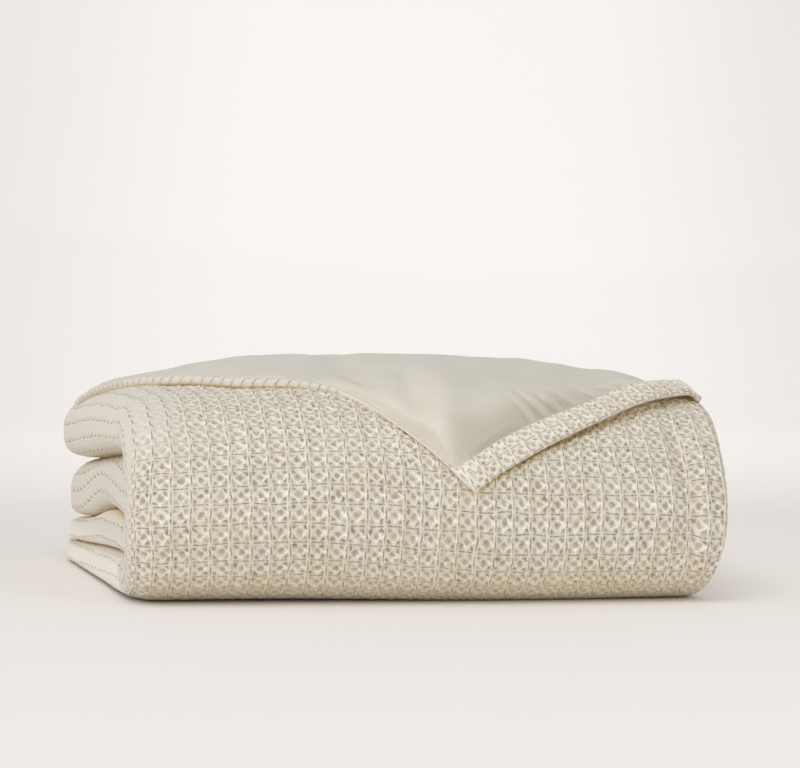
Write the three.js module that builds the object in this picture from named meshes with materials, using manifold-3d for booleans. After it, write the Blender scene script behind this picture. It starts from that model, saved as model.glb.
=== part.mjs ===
// Folded duvet cover: a waffle-weave face panel and a smooth back panel.
// The cover is folded into a long strip and the strip is folded in half twice into a stack.
// The end ply of the top layer is turned back over the top with its smooth side out,
// and hangs one hemmed corner over the rounded front fold.
// Millimetres, +Z up, front towards -Y, standing on z = 0.

import * as THREE from "three";
import { mergeVertices } from "three/addons/utils/BufferGeometryUtils.js";
import Module from "manifold-3d";

// The stack
const FRONT_Y = -157;
const BACK_Y = 155;
const LAYER_GAP = 1.6;
const TOP_HEIGHT = 140;
const HALF_LENGTH = 208;

// The front fold, whose foremost line lies at NOSE_Z
const NOSE_Z = 61;
const NOSE_LOW_DEPTH = 52;
const NOSE_HIGH_DEPTH = 108;
const BAND_THICKNESS = 40;
const NOSE_BULGE = 3.5;

// The folds inside the front fold and at the back
const INNER_FOLD_Y = -78;
const BACK_FOLD_Y = 136;
const FREE_END_Y = 134;
const FREE_END_ROUND = 20;
const CORNER_ROUND = 22;

// The turned-back ply with its hem and rolled edge, and the smooth panel sewn on it
const PLY = 3;
const PLY_GAP = 1.9;
const HEM_WIDTH = 20.5;
const HEM_RISE = 3.4;
const EDGE_ROLL = 6;
const EDGE_TIP = 4.5;
const PANEL_GAP = 0.6;
const PANEL_THICKNESS = 1.2;
const SEAM_GAP = 0.8;
const ROLL_RISE = 2.6;
const CORNER_SHARE = 0.125;
const LEFT_SLOPE = 0.96;
const RIGHT_SLOPE = 0.6;
const EDGE_BOW = 14;
const CORNER_Z = 77;
const HEM_LIFT = 5;
const LEFT_TURN = 1.05;
const RIGHT_TURN = 0.9;
const TAIL_TURN = -0.6;
const TAIL_RUN = 60;
const TAIL = 7;
const PANEL_END_RUN = 20;
const FLAP_COLUMNS = 24;
const END_SHARE = 0.96;
const FLAP_ROWS = 24;

// Heights of each layer where it meets the front fold and where it meets the back
const LAYERS = {
  second: { lowFront: 53, highFront: 96.4, lowBack: 39.6, highBack: 86.4 },
  third: { lowFront: 30.6, highFront: 51.4, lowBack: 17.6, highBack: 38 },
  bottom: { lowFront: 0, highFront: 29, lowBack: 0, highBack: 16 },
  top: { lowFront: 98, highFront: 140, lowBack: 88, highBack: 143 },
};

// Where the two folded side edges of the strip lie, fold by fold along the strip
const REACH = {
  second: { leftStart: 213, leftEnd: 195, rightStart: 194, rightEnd: 194 },
  inner: { leftStart: 195, leftEnd: 196, rightStart: 194, rightEnd: 194 },
  third: { leftStart: 196, leftEnd: 213, rightStart: 194, rightEnd: 194 },
  back: { leftStart: 213, leftEnd: 215, rightStart: 194, rightEnd: 194 },
  bottom: { leftStart: 215, leftEnd: 196, rightStart: 194, rightEnd: 192 },
  nose: { leftStart: 196, leftEnd: 200, rightStart: 192, rightEnd: 200 },
  top: { leftStart: 200, leftEnd: 219, rightStart: 200, rightEnd: 198 },
};

// How round the side edges are on a fold's outer and inner side: 1 is an oval, less is squarer
const ROUND = {
  second: [0.5, 0.85],
  inner: [0.5, 0.6],
  third: [0.5, 0.45],
  back: [0.5, 0.45],
  bottom: [0.65, 0.45],
  nose: [0.8, 0.6],
  top: [1, 0.7],
};
const LEFT_SHAPE = 0.55;
const RIGHT_SHAPE = 0.38;
const RIGHT_SQUARE = 0.55;

// The way the stack settles: overall, at the front, and at the left end
const TOP_DOME = 7;
const CROWN = 0.08;
const FRONT_BULGE = 8;
const LEFT_SAG = 9;
const LEFT_DROOP = 10;
const LEFT_RAISE = 7;
const LEFT_ARCH = 10;

const END_STEPS = 5;
const MIDDLE_STEPS = 10;

const TOP_START_Y = FRONT_Y + NOSE_HIGH_DEPTH;

const { lerp, clamp, smoothstep } = THREE.MathUtils;

// A soft hump of height 1 about a middle
function hump(x, middle, width) {
  return Math.exp(-(((x - middle) / width) ** 2));
}

// Height of a layer's low or high side at a depth y
function layerHeight(layer, side, y) {
  const share = clamp((y - TOP_START_Y) / (BACK_FOLD_Y - TOP_START_Y), 0, 1);
  const row = LAYERS[layer];
  const dome = layer === "top" && side === "high" ? TOP_DOME * Math.sin(Math.PI * share) : 0;
  return lerp(row[`${side}Front`], row[`${side}Back`], share) + dome;
}

// One cross-section of the strip: its outer side a, its inner side b and its side edges
function station(fold, share, a, b) {
  const row = REACH[fold];
  return {
    a: new THREE.Vector2(...a),
    b: new THREE.Vector2(...b),
    left: lerp(row.leftStart, row.leftEnd, share),
    right: lerp(row.rightStart, row.rightEnd, share),
    round: ROUND[fold],
  };
}

// A flat layer between two depths
function flatRun(layer, aSide, bSide, aFrom, aTo, bFrom, bTo, steps) {
  const stations = [];
  for (let i = 0; i <= steps; i++) {
    const share = i / steps;
    const ya = lerp(aFrom, aTo, share);
    const yb = lerp(bFrom, bTo, share);
    const a = [ya, layerHeight(layer, aSide, ya)];
    const b = [yb, layerHeight(layer, bSide, yb)];
    stations.push(station(layer, share, a, b));
  }
  return stations;
}

// A point of a half oval that turns about a centre, from angle -90 (down) to 90 (up)
function ovalPoint(angle, centreY, centreZ, reach, up, down) {
  const rise = Math.sin(angle) > 0 ? up : down;
  return [centreY + reach * Math.cos(angle), centreZ + rise * Math.sin(angle)];
}

const quarter = Math.PI / 2;
const innerReach = INNER_FOLD_Y - (FRONT_Y + BAND_THICKNESS + LAYER_GAP);

// Height of the pinch between a layer and the one above it
function pinchHeight(below, above, y) {
  return (layerHeight(below, "high", y) + layerHeight(above, "low", y)) / 2;
}
const innerZ = pinchHeight("third", "second", INNER_FOLD_Y);
const backZ = pinchHeight("bottom", "third", BACK_FOLD_Y);

// The big rounded front fold, from the surface up to the top layer
function noseFold(steps) {
  const wallUp = layerHeight("top", "low", INNER_FOLD_Y) - innerZ;
  const wallDown = innerZ - layerHeight("bottom", "high", INNER_FOLD_Y);
  const stations = [];
  for (let i = 1; i < steps; i++) {
    const share = i / steps;
    const angle = lerp(-quarter, quarter, share);
    const depth = angle < 0 ? NOSE_LOW_DEPTH : NOSE_HIGH_DEPTH;
    const a = ovalPoint(angle, FRONT_Y + depth, NOSE_Z, -depth, TOP_HEIGHT - NOSE_Z, NOSE_Z);
    const b = ovalPoint(angle, INNER_FOLD_Y, innerZ, -innerReach - LAYER_GAP, wallUp, wallDown);
    const cut = station("nose", share, a, b);
    cut.right += NOSE_BULGE * Math.sin(Math.PI * share);
    stations.push(cut);
  }
  return stations;
}

// The back fold between the third layer and the bottom layer
function backFold(steps) {
  const up = layerHeight("third", "high", BACK_FOLD_Y) - backZ;
  const stations = [];
  for (let i = 1; i < steps; i++) {
    const angle = lerp(quarter, -quarter, i / steps);
    const a = ovalPoint(angle, BACK_FOLD_Y, backZ, BACK_Y - BACK_FOLD_Y, up, backZ);
    const b = ovalPoint(angle, BACK_FOLD_Y, backZ, LAYER_GAP / 2, LAYER_GAP / 2, LAYER_GAP / 2);
    stations.push(station("back", i / steps, a, b));
  }
  return stations;
}

// The hidden front fold between the second layer and the third
function innerFold(steps) {
  const up = layerHeight("second", "high", INNER_FOLD_Y) - innerZ;
  const down = innerZ - layerHeight("third", "low", INNER_FOLD_Y);
  const stations = [];
  for (let i = 1; i < steps; i++) {
    const angle = lerp(quarter, -quarter, i / steps);
    const a = ovalPoint(angle, INNER_FOLD_Y, innerZ, -LAYER_GAP / 2, LAYER_GAP / 2, LAYER_GAP / 2);
    const b = ovalPoint(angle, INNER_FOLD_Y, innerZ, -innerReach, up, down);
    stations.push(station("inner", i / steps, a, b));
  }
  return stations;
}

// A rounded free end beyond the last station of a layer
function freeEnd(end, steps) {
  const middle = end.a.clone().add(end.b).multiplyScalar(0.5);
  const stations = [];
  for (let i = 1; i <= steps; i++) {
    const angle = (quarter * i) / (steps + 0.3);
    const grow = FREE_END_ROUND * Math.sin(angle);
    const a = [middle.x + grow, lerp(middle.y, end.a.y, Math.cos(angle))];
    const b = [middle.x + grow, lerp(middle.y, end.b.y, Math.cos(angle))];
    const inset = CORNER_ROUND * (1 - Math.cos(angle));
    stations.push({
      a: new THREE.Vector2(...a),
      b: new THREE.Vector2(...b),
      left: end.left - inset,
      right: end.right - inset,
      round: end.round,
    });
  }
  return stations;
}

const secondRun = flatRun(
  "second", "low", "high", FREE_END_Y, INNER_FOLD_Y, FREE_END_Y, INNER_FOLD_Y, 6,
);
const thirdRun = flatRun(
  "third", "high", "low", INNER_FOLD_Y, BACK_FOLD_Y, INNER_FOLD_Y, BACK_FOLD_Y, 6,
);
const bottomRun = flatRun(
  "bottom", "low", "high", BACK_FOLD_Y, FRONT_Y + NOSE_LOW_DEPTH, BACK_FOLD_Y, INNER_FOLD_Y, 7,
);
const topRun = flatRun(
  "top", "high", "low", TOP_START_Y, FREE_END_Y, INNER_FOLD_Y, FREE_END_Y, 8,
);
const nose = noseFold(20);
const topEnd = freeEnd(topRun.at(-1), 5);
const strip = [
  ...freeEnd(secondRun[0], 4).reverse(),
  ...secondRun,
  ...innerFold(10),
  ...thirdRun,
  ...backFold(8),
  ...bottomRun,
  ...nose,
  ...topRun,
  ...topEnd,
];

// Side positions across the strip: a turn angle at each rounded edge with how far the faces stand
// apart there, and a share between the edges
function sideSteps() {
  const steps = [];
  for (let i = 0; i <= END_STEPS; i++) {
    const angle = (quarter * i) / END_STEPS;
    steps.push({ turn: angle - quarter, apart: Math.sin(angle), share: 0 });
  }
  for (let i = 1; i < MIDDLE_STEPS; i++) {
    steps.push({ turn: 0, apart: 1, share: i / MIDDLE_STEPS });
  }
  for (let i = 0; i <= END_STEPS; i++) {
    const angle = quarter * (1 - i / END_STEPS);
    steps.push({ turn: quarter - angle, apart: Math.sin(angle), share: 1 });
  }
  return steps;
}

// How the whole stack settles: lower towards both ends and at the back of the left end, bowed out at
// the front. At the left end the folds stand higher towards the front, the fold between the second
// and third layers arches up halfway along, and the top droops at the back
function settle(point) {
  const { x, y, z } = point;
  const fromMiddle = (x / HALF_LENGTH) ** 2;
  const sag = LEFT_SAG * smoothstep(-x, 60, HALF_LENGTH) * smoothstep(y, -120, BACK_Y);
  point.y = y - FRONT_BULGE * (1 - fromMiddle) * smoothstep(-y, -40, 120);
  point.z = z * (1 - CROWN * fromMiddle - sag / TOP_HEIGHT);
  const end = smoothstep(-x, 140, 200);
  const toFront = lerp(1, 0.3, smoothstep(point.y, -110, 60));
  const raised = LEFT_RAISE * Math.sin(Math.PI * clamp(point.z / 127, 0, 1)) * toFront;
  const arch = LEFT_ARCH * hump(point.y, 0, 60) * hump(point.z, 56, 18);
  const toEnd = smoothstep(-x, 120, 225) * smoothstep(point.y, -110, 40);
  const droop = LEFT_DROOP * toEnd * smoothstep(point.z, 90, 150);
  point.z += end * (raised + arch) - droop;
  return point;
}

// A point on the strip's outer (side 1) or inner (side -1) face
function stripPoint(cut, step, side) {
  const middle = cut.a.clone().add(cut.b).multiplyScalar(0.5);
  const half = cut.a.clone().sub(middle);
  const thickness = 2 * half.length();
  const leftRound = Math.max(thickness * LEFT_SHAPE, 8);
  const rightRound = Math.max(thickness * RIGHT_SHAPE, 8);
  const flat = lerp(-cut.left + leftRound, cut.right - rightRound, step.share);
  const onRight = step.turn > 0;
  const power = cut.round[side > 0 ? 0 : 1] * (onRight ? RIGHT_SQUARE : 1);
  const x = flat + (onRight ? rightRound : leftRound) * Math.sin(step.turn);
  const at = middle.add(half.multiplyScalar(side * step.apart ** power));
  return settle(new THREE.Vector3(x, at.x, at.y));
}

// A closed mesh from two faces of the same grid, stitched along its four borders
function closedSheet(outer, inner) {
  const rows = outer.length;
  const columns = outer[0].length;
  const points = [...outer.flat(), ...inner.flat()];
  const faces = [];
  const quad = (p, q, r, s) => faces.push(p, q, r, p, r, s);
  const top = (i, j) => i * columns + j;
  const under = (i, j) => (rows + i) * columns + j;
  for (let i = 0; i + 1 < rows; i++) {
    for (let j = 0; j + 1 < columns; j++) {
      quad(top(i, j), top(i, j + 1), top(i + 1, j + 1), top(i + 1, j));
      quad(under(i, j), under(i + 1, j), under(i + 1, j + 1), under(i, j + 1));
    }
    quad(top(i, 0), top(i + 1, 0), under(i + 1, 0), under(i, 0));
    quad(top(i + 1, columns - 1), top(i, columns - 1), under(i, columns - 1), under(i + 1, columns - 1));
  }
  for (let j = 0; j + 1 < columns; j++) {
    quad(top(0, j + 1), top(0, j), under(0, j), under(0, j + 1));
    quad(top(rows - 1, j), top(rows - 1, j + 1), under(rows - 1, j + 1), under(rows - 1, j));
  }
  const geometry = new THREE.BufferGeometry();
  const flat = points.flatMap((p) => [p.x, p.y, p.z]);
  geometry.setAttribute("position", new THREE.Float32BufferAttribute(flat, 3));
  geometry.setIndex(faces);
  const merged = mergeVertices(geometry, 1e-3);
  const kept = [];
  for (let i = 0; i < merged.index.count; i += 3) {
    const [p, q, r] = [merged.index.getX(i), merged.index.getX(i + 1), merged.index.getX(i + 2)];
    if (p !== q && q !== r && r !== p) kept.push(p, q, r);
  }
  merged.setIndex(kept);
  return merged;
}

const steps = sideSteps();
const stripOuter = strip.map((cut) => steps.map((step) => stripPoint(cut, step, 1)));
const stripInner = strip.map((cut) => steps.map((step) => stripPoint(cut, step, -1)));
const stripGeometry = closedSheet(stripOuter, stripInner);

// The way of the turned-back ply: out of the top layer's end, over the top, down the front
function layWay() {
  const fall = nose.filter((cut) => cut.a.y > CORNER_Z - 30);
  const tip = topEnd.at(-1);
  const way = [...fall, ...topRun, ...topEnd].reverse().map((cut) => ({
    at: cut.a.clone(),
    half: Math.max(cut.a.distanceTo(cut.b) / 2, FREE_END_ROUND),
    left: cut.left,
    right: cut.right,
  }));
  way.unshift({ ...way[0], at: tip.b.clone().add(new THREE.Vector2(-TAIL, -TAIL)) });
  let run = 0;
  way.forEach((cut, i) => {
    const before = way[Math.max(i - 1, 0)].at;
    const after = way[Math.min(i + 1, way.length - 1)].at;
    run += i ? cut.at.distanceTo(before) : 0;
    cut.run = run;
    cut.normal = new THREE.Vector2(after.y - before.y, before.x - after.x).normalize();
  });
  return way;
}
const way = layWay();

// The way's values at a distance along it
function wayAt(run) {
  const found = way.findIndex((cut) => cut.run >= run);
  const next = found < 0 ? way.length - 1 : Math.max(found, 1);
  const [from, to] = [way[next - 1], way[next]];
  const share = clamp((run - from.run) / (to.run - from.run), 0, 1);
  const half = lerp(from.half, to.half, share);
  const leftRound = Math.max(2 * half * LEFT_SHAPE, 8);
  const rightRound = Math.max(2 * half * RIGHT_SHAPE, 8);
  return {
    at: from.at.clone().lerp(to.at, share),
    normal: from.normal.clone().lerp(to.normal, share).normalize(),
    half,
    leftRound,
    rightRound,
    leftFlat: -lerp(from.left, to.left, share) + leftRound,
    rightFlat: lerp(from.right, to.right, share) - rightRound,
    leftBend: (half + leftRound) / 2,
    rightBend: (half + rightRound) / 2,
  };
}
const under = way.findIndex((cut) => cut.at.x < FRONT_Y + 20 && cut.at.y < CORNER_Z);
const cornerRun = lerp(
  way[under].run,
  way[under - 1].run,
  (CORNER_Z - way[under].at.y) / (way[under - 1].at.y - way[under].at.y),
);

// Side positions of the turned-back ply as shares of its reach, with one more near each end and one
// at the hanging corner
function flapShares() {
  const shares = [-END_SHARE, END_SHARE];
  for (let i = 0; i <= FLAP_COLUMNS; i++) shares.push((2 * i) / FLAP_COLUMNS - 1);
  shares.sort((p, q) => p - q);
  const nearest = shares.reduce((best, s) => {
    return Math.abs(s - CORNER_SHARE) < Math.abs(best - CORNER_SHARE) ? s : best;
  });
  return shares.map((s) => (s === nearest ? CORNER_SHARE : s));
}

// Distance across the strip for a share of its reach: inside its edges at the back, past them on top
function across(share, run) {
  const cut = wayAt(run);
  const pastTail = smoothstep(run, 10, TAIL_RUN);
  return share < 0
    ? -share * (cut.leftFlat - lerp(TAIL_TURN, LEFT_TURN, pastTail) * cut.leftBend)
    : share * (cut.rightFlat + lerp(TAIL_TURN, RIGHT_TURN, pastTail) * cut.rightBend);
}

// Where a column of the turned-back ply reaches its slanting free edge, a little bowed on the left
const cornerAcross = across(CORNER_SHARE, cornerRun);
function edgeRun(share) {
  let run = cornerRun;
  for (let i = 0; i < 4; i++) {
    const past = across(share, run) - cornerAcross;
    const bow = EDGE_BOW * (hump(-past, 190, 60) - smoothstep(-past, 215, 275));
    run = cornerRun + bow - (past < 0 ? -past * LEFT_SLOPE : past * RIGHT_SLOPE);
  }
  return run;
}

// Run of the hem or the rolled edge down a column, measured from the free edge
function borderRun(share) {
  const hem = HEM_WIDTH * Math.hypot(1, RIGHT_SLOPE);
  if (share >= CORNER_SHARE) return hem;
  const past = cornerAcross - across(share, edgeRun(share));
  const roll = lerp(EDGE_TIP, EDGE_ROLL, smoothstep(past, 40, 130)) * Math.hypot(1, LEFT_SLOPE);
  return Math.max(roll, hem - (LEFT_SLOPE + RIGHT_SLOPE) * past);
}

// A point held off the stack's skin by a given distance
function flapPoint(share, run, off) {
  const cut = wayAt(run);
  const w = across(share, run);
  const flat = clamp(w, cut.leftFlat, cut.rightFlat);
  const onRight = w > flat;
  const round = onRight ? cut.rightRound : cut.leftRound;
  const turn = (w - flat) / (onRight ? cut.rightBend : cut.leftBend);
  const power = ROUND.top[0] * (onRight ? RIGHT_SQUARE : 1);
  const drop = cut.half * (1 - Math.cos(turn) ** power);
  const at = cut.at.clone().addScaledVector(cut.normal, -drop);
  const lean = Math.cos(turn) ** (2 - power) / (cut.half * power);
  const out = new THREE.Vector3(Math.sin(turn) / round, cut.normal.x * lean, cut.normal.y * lean);
  const toEdge = (cornerRun - run - RIGHT_SLOPE * (w - cornerAcross)) / Math.hypot(1, RIGHT_SLOPE);
  const lift = HEM_LIFT * smoothstep(w, cornerAcross + 30, 170) * (1 - smoothstep(toEdge, 5, 70));
  const point = new THREE.Vector3(flat + round * Math.sin(turn), at.x, at.y);
  return settle(point.addScaledVector(out.normalize(), off + lift));
}

// Rows of the turned-back ply down one column, with the distances of its two faces from the skin
function flapRows(share, withHem) {
  const start = edgeRun(share);
  const border = borderRun(share);
  const rise = lerp(ROLL_RISE, HEM_RISE, smoothstep(border, 10, HEM_WIDTH));
  const hemTop = PLY_GAP + PLY + rise;
  const plyTop = PLY_GAP + PLY;
  const rows = [];
  if (withHem) {
    rows.push({ run: start, low: (PLY_GAP + hemTop) / 2 - 0.5, high: (PLY_GAP + hemTop) / 2 + 0.5 });
    rows.push({ run: start - 2, low: PLY_GAP, high: hemTop });
    rows.push({ run: start - border / 2, low: PLY_GAP, high: hemTop });
    rows.push({ run: start - border + 1.5, low: PLY_GAP, high: hemTop });
    rows.push({ run: start - border, low: PLY_GAP, high: plyTop });
  }
  const [low, high] = withHem
    ? [PLY_GAP, plyTop]
    : [plyTop + PANEL_GAP, plyTop + PANEL_GAP + PANEL_THICKNESS];
  for (let i = 0; i <= FLAP_ROWS; i++) {
    rows.push({ run: lerp(start - border - SEAM_GAP, PANEL_END_RUN, i / FLAP_ROWS), low, high });
  }
  if (withHem) {
    rows.push({ run: PANEL_END_RUN / 2, low, high });
    rows.push({ run: 0, low, high });
  }
  return rows;
}

// A sheet over the turned-back part: the waffle ply with its hem, or the smooth panel inside the hem
function flapGeometry(withHem) {
  const face = (side) =>
    flapShares()
      .reverse()
      .map((share) => flapRows(share, withHem).map((row) => flapPoint(share, row.run, row[side])));
  return closedSheet(face("high"), face("low"));
}

const wasm = await Module();
wasm.setup();

// A geometry as a solid that can be joined
function solid(geometry) {
  return new wasm.Manifold(
    new wasm.Mesh({
      numProp: 3,
      vertProperties: geometry.attributes.position.array,
      triVerts: new Uint32Array(geometry.index.array),
    }),
  );
}

// A joined solid back as a geometry
function geometryOf(joined) {
  const mesh = joined.getMesh();
  const geometry = new THREE.BufferGeometry();
  geometry.setAttribute("position", new THREE.BufferAttribute(new Float32Array(mesh.vertProperties), 3));
  geometry.setIndex(new THREE.BufferAttribute(new Uint32Array(mesh.triVerts), 1));
  geometry.computeVertexNormals();
  return geometry;
}

const waffle = new THREE.Mesh(
  geometryOf(solid(stripGeometry).add(solid(flapGeometry(true)))),
  new THREE.MeshStandardMaterial({ color: 0xd6cdbc, roughness: 0.95 }),
);
waffle.name = "waffle_panel";

const smooth = new THREE.Mesh(
  flapGeometry(false),
  new THREE.MeshStandardMaterial({ color: 0xd4cfc3, roughness: 0.8 }),
);
smooth.name = "smooth_panel";

const cover = new THREE.Group();
cover.name = "folded_duvet_cover";
cover.add(waffle, smooth);

// The frame's origin lies under the middle of the folded cover
const middle = new THREE.Box3().setFromObject(cover).getCenter(new THREE.Vector3());
for (const mesh of cover.children) mesh.geometry.translate(-middle.x, -middle.y, 0);

export default cover;
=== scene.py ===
"""Folded waffle duvet cover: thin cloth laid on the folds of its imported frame.

Lengths are worked out in millimetres on the folds' own section and put into the meshes in metres.
The cover is a strip folded back and forth. Its visible plies are sheets wrapped round that strip, with
the weave's cells raised in the mesh and the threads in the material. The end of the top layer is
turned back over the top: a hem and a rolled edge of waffle, and a smooth panel inside them.
"""

import math

import bpy
import numpy as np
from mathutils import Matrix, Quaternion, Vector


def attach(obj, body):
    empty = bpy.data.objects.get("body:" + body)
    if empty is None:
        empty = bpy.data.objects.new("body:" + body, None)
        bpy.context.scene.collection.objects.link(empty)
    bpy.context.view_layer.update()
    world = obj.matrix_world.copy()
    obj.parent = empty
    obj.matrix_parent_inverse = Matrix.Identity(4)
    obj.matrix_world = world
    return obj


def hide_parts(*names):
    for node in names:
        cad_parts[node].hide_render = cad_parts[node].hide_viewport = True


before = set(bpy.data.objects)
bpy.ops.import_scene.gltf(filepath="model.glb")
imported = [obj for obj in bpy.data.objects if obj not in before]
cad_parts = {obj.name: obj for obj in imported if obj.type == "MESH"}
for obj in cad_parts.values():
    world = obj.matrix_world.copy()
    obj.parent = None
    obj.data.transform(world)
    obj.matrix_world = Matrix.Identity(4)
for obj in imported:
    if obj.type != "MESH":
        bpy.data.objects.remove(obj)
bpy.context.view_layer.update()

QUARTER = math.pi / 2

# The folds' section, as in the part: x is the length, y the depth, z the height
FRONT_Y, BACK_Y = -157.0, 155.0
LAYER_GAP, TUCK = 1.6, 0.6
TOP_HEIGHT, TOP_DOME, HALF_LENGTH = 140.0, 7.0, 208.0
NOSE_Z, NOSE_LOW_DEPTH, NOSE_HIGH_DEPTH = 61.0, 52.0, 108.0
BAND_THICKNESS, NOSE_BULGE, RIGHT_SHOULDER = 40.0, 1.5, 5.5
INNER_FOLD_Y, BACK_FOLD_Y, FREE_END_Y = -78.0, 136.0, 134.0
FREE_END_ROUND, CORNER_ROUND = 20.0, 22.0
TOP_START_Y = FRONT_Y + NOSE_HIGH_DEPTH
# How far along the floor, behind the front fold, the front's sheet starts
FRONT_LAP = 8.0
# The part's own origin, under the middle of its box, in the section's coordinates
MIDDLE = np.array([-6.4798, -5.0918, 0.0])

# Heights of each layer: low and high side at the front fold, then at the back
LAYERS = {
    "second": (53.0, 96.4, 39.6, 86.4),
    "third": (30.6, 51.4, 17.6, 38.0),
    "bottom": (0.0, 29.0, 0.0, 16.0),
    "top": (98.0, 140.0, 88.0, 143.0),
}
# The strip's side edges along each fold: where they lie, left from and to, right from and to, and how round
# they are on its sides a and b, where 1 is an oval and less is squarer
EDGES = {
    "second": (213, 195, 194, 194, 0.32, 0.85),
    "inner": (195, 196, 194, 194, 0.5, 0.6),
    "third": (196, 213, 194, 194, 0.5, 0.45),
    "back": (213, 215, 194, 194, 0.5, 0.45),
    "bottom": (215, 199, 194, 192, 0.35, 0.45),
    "nose": (199, 201, 192, 200, 0.8, 0.6),
    "top": (201, 219, 206, 198, 1.0, 0.45),
}
TOP_ROUND = EDGES["top"][4]
# Steps along each fold of the section
FLAT_STEPS, NOSE_STEPS, BACK_STEPS, INNER_STEPS, END_STEPS = 160, 402, 82, 122, 42

# The strip's side edges: their round for each mm of thickness, the least round, the right one's squareness
LEFT_SHAPE, RIGHT_SHAPE, LEAST_ROUND, RIGHT_SQUARE = 0.55, 0.38, 8.0, 0.42
# How far the two strips' inner sides swell at their ends, to close the slits between the layers
SWELL = {"a": 2.0, "b": 1.0}

# How the stack has settled: its crown and bulge, what sinks, and what stands higher or prouder
CROWN, FRONT_BULGE, LEFT_SAG, LEFT_DROOP = 0.08, 8.0, 9.0, 10.0
LEFT_RAISE, LEFT_LOWER, LEFT_ARCH = 4.5, 4.0, 13.0
LEFT_SHOULDER, CREST_LIFT, RIGHT_RAISE = 3.5, 2.2, 3.2
UPPER_FOLD_Z, LOWER_FOLD_Z, ARCH_Y, ARCH_Z = 97.0, 42.0, 14.0, 56.0
# The upright crease beside the front's right end, the rise beyond it, and the front's low swells
CREASE_DEPTH, CREASE_WIDTH, CREASE_X, CREASE_LEAN, CREASE_Z = 4.0, 5.0, 168.0, 0.06, 110.0
END_RISE, BROAD_SWELL, SLANT_SWELL = 2.4, 0.9, 0.7

# The turned-back ply: how far it lies off the stack, its hem, its rolled edge and the smooth panel
PLY_GAP, ROLL_BED, PANEL_OFF = 0.7, 1.5, 5.0
HEM_WIDTH, HEM_THICK = 20.5, 5.0
ROLL_WIDTH, ROLL_THICK = 8.5, 7.0
TIP_WIDTH, TIP_THICK = 2.4, 2.6
CORNER_SHARE, CORNER_Z = 0.125, 77.0
LEFT_SLOPE, RIGHT_SLOPE = 0.96, 0.60
LEFT_SLANT, RIGHT_SLANT = math.hypot(1, LEFT_SLOPE), math.hypot(1, RIGHT_SLOPE)
LEFT_TURN, RIGHT_TURN, TAIL_TURN, TAIL_RUN = 0.95, 0.7, -0.6, 60.0
HEM_LIFT, SEAM_LIFT, EDGE_RETURN = 3.2, 3.5, 70.0
# How the free edge bows out or in to the left of the corner: by how much, where, over what width
EDGE_BOWS = ((14.0, 190.0, 60.0), (8.0, 188.0, 14.0), (-21.0, 90.0, 36.0), (2.5, 4.0, 14.0))
# The ply's way: rows tucked in at its start, how far it runs on below the corner, rows down the front
TUCK_ROWS, WAY_BELOW, FRONT_ROWS = 12, 34.0, 90
# The hem's seam: how far inside the hem it lies, and how far the waffle runs on under and into it
SEAM_INSET, HEM_UNDER, HEM_TUCK = 1.4, 10.0, 6.0
# The panel: its tuck and step at the seam, its end at the back, how far its ends and the ply under it sink
PANEL_TUCK, SEAM_STEP, PANEL_END_RUN, END_SINK, PLY_SINK = 1.6, 0.9, 6.0, 5.0, 3.5
# Heights of the panel's soft folds, and depths of its hollows
PANEL_RIDGE, PANEL_BULGE, PANEL_SWELL, PUCKER = 10.5, 7.0, 3.4, 3.0
PANEL_TROUGH, PANEL_CREASE, LEFT_DIP, RIGHT_DIP, PUCKER_FLOOR, SEAM_DIP = 3.2, 2.6, 4.0, 2.6, 2.4, 1.6

# The weave: its cells, and those of the hem and the rolled edge
CELL_WIDE, FIRST_COLUMN, LEFT_EDGE_RUN = 12.14, 1.9, -210.0
HEM_CELL, HEM_PITCH, ROLL_PITCH, FIRST_STITCH = 10.25, 11.6, 7.3, 16.5
CORD_RISE, HOLLOW_DEPTH, DIMPLE_DEPTH, FURROW_DEPTH, STITCH_DEPTH = 0.35, 1.7, 1.1, 0.5, 0.5
# Runs up the front, and the number of the row there
ROW_RUNS, ROW_NUMBERS = (-600.0, 0.0, 107.0, 168.0, 600.0), (-47.2, -2.9, 5.0, 10.0, 45.4)

# Distances between a sheet's points: over the weave, round the strip's ends, and where little shows
WEAVE_STEP, END_STEP, WIDE_STEP = 1.35, 1.6, 15.0
# Lengths round a sheet: across the flat, round each end, and on along the inner face
FLAT_LENGTH, END_LENGTH, INNER_WRAP = 360.0, 66.0, 12.0
# Run up the front past which the turned-back ply covers it
SEEN_RUN = 300.0


def lerp(a, b, t):
    """A straight mix from a at t = 0 to b at t = 1."""
    return a + (b - a) * t


def smooth(x, low, high):
    """The smooth step, 3t^2 - 2t^3, of x between low and high."""
    t = np.clip((x - low) / (high - low), 0.0, 1.0)
    return t * t * (3.0 - 2.0 * t)


def hump(x, middle, width):
    """A soft hump of height 1 about a middle: exp(-((x - middle) / width)^2)."""
    return np.exp(-(((x - middle) / width) ** 2))


def speckle(i, j, seed):
    """An even scatter of values in 0 to 1 for whole-number cells: the fraction of a large sine."""
    return np.mod(np.sin(i * 12.9898 + j * 78.233 + seed * 37.719) * 43758.5453, 1.0)


def lattice(u, v, seed):
    """Soft noise in 0 to 1: scattered values at whole numbers, mixed smoothly between them."""
    i, j = np.floor(u), np.floor(v)
    s, t = smooth(u - i, 0, 1), smooth(v - j, 0, 1)
    low = lerp(speckle(i, j, seed), speckle(i + 1, j, seed), s)
    high = lerp(speckle(i, j + 1, seed), speckle(i + 1, j + 1, seed), s)
    return lerp(low, high, t)


# The strip's section, fold by fold


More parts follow.
